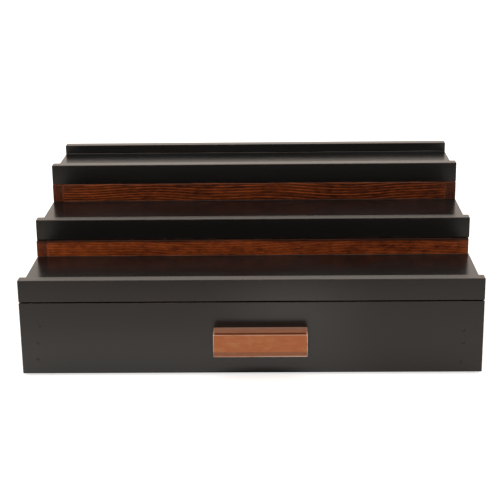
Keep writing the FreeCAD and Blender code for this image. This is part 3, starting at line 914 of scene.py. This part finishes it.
# %% [markdown]
# The groove is routed in the real pull, which leaves round inner corners. Here it is a piece
# of the top face pushed down into the block: four slices through the top face outline it. A
# Boolean would cut it too, but then its rim could not be rounded as evenly as with a bevel.
# The order matters: the outer edges are bevelled first, then the groove's inner edges and last
# its rim, because a bevel's own narrow faces would be picked again as edges that turn.


# %% Wooden pull
def slice_all(point, normal, **more):
    """In edit mode: cut through the whole mesh along a plane."""
    bpy.ops.mesh.select_all(action="SELECT")
    bpy.ops.mesh.bisect(plane_co=point, plane_no=normal, **more)


pull = block("drawer_pull", pull_box)
bpy.ops.object.mode_set(mode="EDIT")
slice_all(foot_point, foot_normal, use_fill=True, clear_outer=True)
for corner in (groove_low, groove_high):
    for normal in ((1, 0, 0), (0, 1, 0)):
        pick(pull, "FACE", faces_up)
        bpy.ops.mesh.bisect(plane_co=corner, plane_no=normal)
pick(pull, "FACE", lambda face: faces_up(face) and within_groove(face.calc_center_median()))
bpy.ops.mesh.extrude_region_move(TRANSFORM_OT_translate={"value": (0, 0, -GROOVE_DEPTH)})
pick(pull, "EDGE", is_outer)
bevel(PULL_EASED, 4)
pick(pull, "EDGE", lambda edge: turning(edge) and within_groove(middle_of(edge))
     and middle_of(edge).z < pull_high.z - TOUCH)
bevel(FLUTE, 4)
pick(pull, "EDGE", lambda edge: turning(edge, TURNS_SHARPLY) and within_groove(middle_of(edge)))
bevel(RIM_EASED, 3)
print("pull:", len(bmesh.from_edit_mesh(pull.data).faces), "faces")

# %% [markdown]
# Hands have worn the pull most. Slices across it give its roundings points to move, and the
# same sanding as on the boards presses these in. The groove's rim keeps its shape. How much a
# point is rubbed is also what turns it paler: a band along the foot's lower edge, a line down
# each end, and a trace along the lip and behind the groove.

# %% Rub the pull's edges
WEAR_STEP = 3 * MM
WORN_BAND = 1.4 * MM
WORN_END = 1.2 * MM
FOOT_RUBBED, END_RUBBED, LIP_RUBBED, BACK_RUBBED = (0.3, 1.0), 1.0, 0.15, 0.2
steps = int((pull_high.x - pull_low.x) / WEAR_STEP)
slices = [pull_low.x + step * WEAR_STEP for step in range(1, steps)]
for place in slices + [pull_low.x + WORN_END, pull_high.x - WORN_END]:
    slice_all((place, 0, 0), (1, 0, 0))
slice_all((0, 0, pull_low.z + WORN_BAND), (0, 0, 1))
bpy.ops.object.mode_set(mode="OBJECT")


def from_the_ends(point):
    return min(point.x - pull_low.x, pull_high.x - point.x)


def on_the_foot(point):
    """Whether a point lies in the flat slant of the foot."""
    return abs((point - foot_point).dot(foot_normal)) < TOUCH


def on_rounding(point):
    """Whether a point of the pull lies on an outer rounding that fingers rub."""
    above_foot = abs(point.z - foot_point.z) < PULL_EASED and from_the_ends(point) > PULL_EASED
    in_groove = within_groove(point, RIM_EASED + TOUCH)
    return not (sides_of([point], pull_box) or on_the_foot(point) or above_foot or in_groove)


def rubbed_at(point):
    """How much an outer rounding is rubbed: the foot's edge more and more to the right."""
    if point.z < pull_low.z + PULL_EASED:
        left, right = FOOT_RUBBED
        return left + (right - left) * (point.x - pull_low.x) / (pull_high.x - pull_low.x)
    return END_RUBBED if from_the_ends(point) < WORN_END - TOUCH else LIP_RUBBED


press_in(pull, lambda point: on_rounding(point) and rubbed_at(point), sanding, UNEVEN)
for vertex in pull.data.vertices:
    behind_groove = vertex.co.z > pull_high.z - TOUCH and vertex.co.y > pull_high.y - TOUCH
    if on_the_foot(vertex.co) and vertex.co.z < pull_low.z + PULL_EASED:
        pull.vertex_groups["rounded"].add([vertex.index], rubbed_at(vertex.co), "REPLACE")
    elif behind_groove:
        pull.vertex_groups["rounded"].add([vertex.index], BACK_RUBBED, "REPLACE")
print("rubbed at", sum(len(vertex.groups) > 0 for vertex in pull.data.vertices), "points")

# %% [markdown]
# Shade is painted into the pull's stain: the groove, the slant of the foot, which faces down,
# and the top behind the groove are written darker on their points than the face. One
# lightness for the whole pull would leave the groove hard to see.

# %% Painted shade of the pull
# The face keeps its full lightness; the top behind the groove, the foot's slant and the groove are painted
# shade.
FACE_TONE, TOP_PAINTED_SHADE, FOOT_PAINTED_SHADE, GROOVE_PAINTED_SHADE = 1.0, 0.8, 0.66, 0.5


# Lightness at a point of the pull, with painted shade in the groove, on the foot's slant and on the top
# behind the groove.
def pull_painted_shade(point):
    tone = FACE_TONE
    if within_groove(point) and point.z < pull_high.z - RIM_EASED:
        tone = GROOVE_PAINTED_SHADE
    elif pull_low.z + PULL_EASED < point.z < foot_point.z - TOUCH:
        tone = FOOT_PAINTED_SHADE
    elif point.z > pull_high.z - TOUCH and point.y > groove_high.y:
        tone = TOP_PAINTED_SHADE
    return (tone, 1.0, 0.0)


remember_plank(pull, pull_box, ALONG_X, pull_painted_shade)
hand_over(pull, "drawer_handle")

# %% [markdown]
# Two pan-head screws hold the pull from inside the drawer. Only their heads show: a low dome
# with a crossed slot. Each is a cylinder whose rim is bevelled into the dome, whose underside
# is inset and drawn out to the shank, and whose slot is cut by two thin blocks.

# %% Screws
HEAD_HEIGHT, DOME, DOME_PROFILE = 2.2 * MM, 1.3 * MM, 0.55
SHANK_RADIUS = 1.75 * MM
SLOT_LONG, SLOT_WIDE, SLOT_DEEP = 4.4 * MM, 0.9 * MM, 1.2 * MM
POINT_LENGTH, POINT_SHARE = 2.6 * MM, 0.12


def model_screw(name, box):
    """A screw along Y with its head at the back end of the box."""
    low, high = box
    middle = (low + high) / 2
    radius = (high.x - low.x) / 2
    piece = cylinder(name, 32, radius, HEAD_HEIGHT, (middle.x, high.y - HEAD_HEIGHT / 2, middle.z),
                     (math.pi / 2, 0, 0))
    bpy.ops.object.mode_set(mode="EDIT")
    pick(piece, "FACE", lambda face: face.normal.y < -0.9)
    bpy.ops.mesh.inset(thickness=radius - SHANK_RADIUS)
    shank = high.y - HEAD_HEIGHT - low.y
    bpy.ops.mesh.extrude_region_move(TRANSFORM_OT_translate={"value": (0, POINT_LENGTH - shank, 0)})
    bpy.ops.mesh.extrude_region_move(TRANSFORM_OT_translate={"value": (0, -POINT_LENGTH, 0)})
    tip = (middle.x, low.y, middle.z)
    bpy.ops.transform.resize(value=(POINT_SHARE, 1, POINT_SHARE), center_override=tip)
    pick(piece, "EDGE", lambda edge: all(abs(point.y - high.y) < TOUCH for point in ends_of(edge)))
    bevel(DOME, 5, DOME_PROFILE)
    bpy.ops.object.mode_set(mode="OBJECT")
    centre = Vector((middle.x, high.y, middle.z))
    for wide, tall in ((SLOT_LONG, SLOT_WIDE), (SLOT_WIDE, SLOT_LONG)):
        reach = Vector((wide / 2, SLOT_DEEP, tall / 2))
        carve(piece, [block("slot", (centre - reach, centre + reach))])
    return piece


screws = [model_screw(f"pull_screw_{number}", box) for number, box in enumerate(islands("handle_screws"), 1)]
take(screws[0])
screws[1].select_set(True)
bpy.ops.object.join()
screws[0].name = "pull_screws"
hand_over(screws[0], "handle_screws")

# %% [markdown]
# The pads are discs cut from pressed felt. A cut edge of felt is soft and a little ragged, so
# a disc gets a rounded rim whose points are pressed in unevenly. One is modelled, and three
# copies, each with its own mesh, go to the other corners.

# %% Felt pads
PAD_EASED = 0.45 * MM
PAD_RAGGED = 0.3 * MM
ragged = clouds("ragged_felt", 1.6 * MM)


def model_pad(name, box):
    low, high = box
    piece = cylinder(name, 48, (high.x - low.x) / 2, high.z - low.z, (low + high) / 2)
    bpy.ops.object.mode_set(mode="EDIT")
    pick(piece, "EDGE", lambda edge: turning(edge, TURNS_SHARPLY))
    bevel(PAD_EASED, 3)
    bpy.ops.object.mode_set(mode="OBJECT")
    press_in(piece, lambda point: low.z + TOUCH < point.z < high.z - TOUCH, ragged, PAD_RAGGED)
    return piece


def copy_to(piece, name, step):
    """A copy with its own mesh, moved by a step."""
    take(piece)
    bpy.ops.object.duplicate()
    bpy.context.object.location = step
    return settle(name)


first_pad = "pad_front_left"
pads = {first_pad: model_pad("felt_front_left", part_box(first_pad))}
for corner in ("front_right", "back_left", "back_right"):
    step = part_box(f"pad_{corner}")[0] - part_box(first_pad)[0]
    pads[f"pad_{corner}"] = copy_to(pads[first_pad], f"felt_{corner}", step)
for node, pad in pads.items():
    hand_over(pad, node)

# %% [markdown]
# The nails are already right: thin pins with small flat heads. They keep the construction
# model's meshes, and only get their metal or their paint.

# %% Nails
for node, slot in slots_of.items():
    if node.endswith("_brads"):
        nodes[node].data.materials.clear()
        nodes[node].data.materials.append(FINISHES[slot])
        print(f"{node}: {len(islands(node))} nails, {slot}")

# %% [markdown]
# The studio's floor is white paper. The camera sees it as pure white, and it still takes the
# stand's soft shadow. Lacquer shows little but what it mirrors, and no real studio is white
# all round, so in reflections only, the floor has dark patches: one some way in front of the
# stand, one at each side, and a small one under the pull, which the pull itself shades. A
# lamp's glow lies before the drawer, and the floor is lighter again near the stand, most of
# all at the left. Dark cards standing about would do the same, but they would also show in
# views from the side.

# %% Floor
WHITE = colour(1.0, 1.0, 1.0)
PAPER, SHADED_PAPER = colour(0.78, 0.8, 0.82), colour(0.03, 0.03, 0.03)
FRONT_PATCH = ((0.01, -0.485, 0), (0.33, 0.15))
PULL_PATCH = ((0.0075, -0.107, 0), (0.036, 0.014))
LAMP_PATCH = ((0.028, -0.25, 0), (0.075, 0.12))
SEEN_GLOW, PAPER_GLOW, LAMP_GLOW, NEAR_GLOW, LEFT_GLOW = 0.66, 0.07, 0.62, 0.1, 0.27
UNDER_PULL = 0.85
bpy.ops.object.select_all(action="DESELECT")
bpy.ops.mesh.primitive_plane_add(size=12, location=(0, 0, 0))
floor = bpy.context.object
floor.name = "floor"
paper = Finish("white_floor", Roughness=0.9, Specular_IOR_Level=0.0, Emission_Color=WHITE)
seen = paper.node("LightPath", output="Is Camera Ray")
mirrored = paper.node("LightPath", output="Is Glossy Ray")
spot = paper.node("TexCoord", output="Object")
sideways, away, _ = split(paper, spot)


def away_from(centre, radii):
    """How far a spot on the floor lies from a patch's centre, in the patch's radii."""
    offset = paper.vector("SUBTRACT", spot, centre)
    offset = paper.vector("MULTIPLY", offset, [1 / radius for radius in radii] + [0])
    return paper.node("VectorMath", {"operation": "LENGTH"}, {0: offset}, output="Value")


lit = paper.fade(away_from(*FRONT_PATCH), 0.8, 1.4)
lit = lit * (1.0 - paper.fade(sideways.unsigned(), 0.24, 0.3) * paper.fade(away, -0.26, -0.2))
lit = lit * (1.0 - paper.fade(away_from(*PULL_PATCH), 1.2, 0.5) * UNDER_PULL)
lamp = paper.fade(away_from(*LAMP_PATCH), 1.0, 0.0)
near = paper.fade(away, -0.22, -0.15) * (NEAR_GLOW + paper.fade(sideways, 0.1, 0.04) * LEFT_GLOW)
paper.feed("Base Color", paper.blend(mirrored * (1.0 - lit), PAPER, SHADED_PAPER))
paper.feed("Emission Strength", seen * SEEN_GLOW + mirrored * lit * (PAPER_GLOW + lamp * LAMP_GLOW + near))
floor.data.materials.append(paper.material)
print("floor:", len(paper.tree.nodes), "nodes")

# %% [markdown]
# Soft light comes from everywhere, a little warm, which is why the flat black tops show as
# grey sheets. One large lamp would throw a shadow that the photograph doesn't have, so the
# world alone lights the stand. In reflections, the room behind the camera is darker, which
# keeps the upright fronts black. The camera sees white wherever the floor ends.

# %% Light
WARM, DARK_ROOM = colour(1.12, 0.975, 0.86), colour(0.45, 0.44, 0.44)
world = bpy.data.worlds.new("studio")
bpy.context.scene.world = world
world.use_nodes = True
sky = Recipe(world.node_tree, "Background")
direction = split(sky, sky.node("TexCoord", output="Generated"))
room = sky.fade(-1.0 * direction[1], 0.7, 0.92) * sky.node("LightPath", output="Is Glossy Ray")
light = sky.blend(room, WARM, DARK_ROOM)
sky.feed("Color", sky.blend(sky.node("LightPath", output="Is Camera Ray"), light, WHITE))
bpy.context.scene.view_settings.view_transform = "Standard"
print("sky:", len(sky.tree.nodes), "nodes")
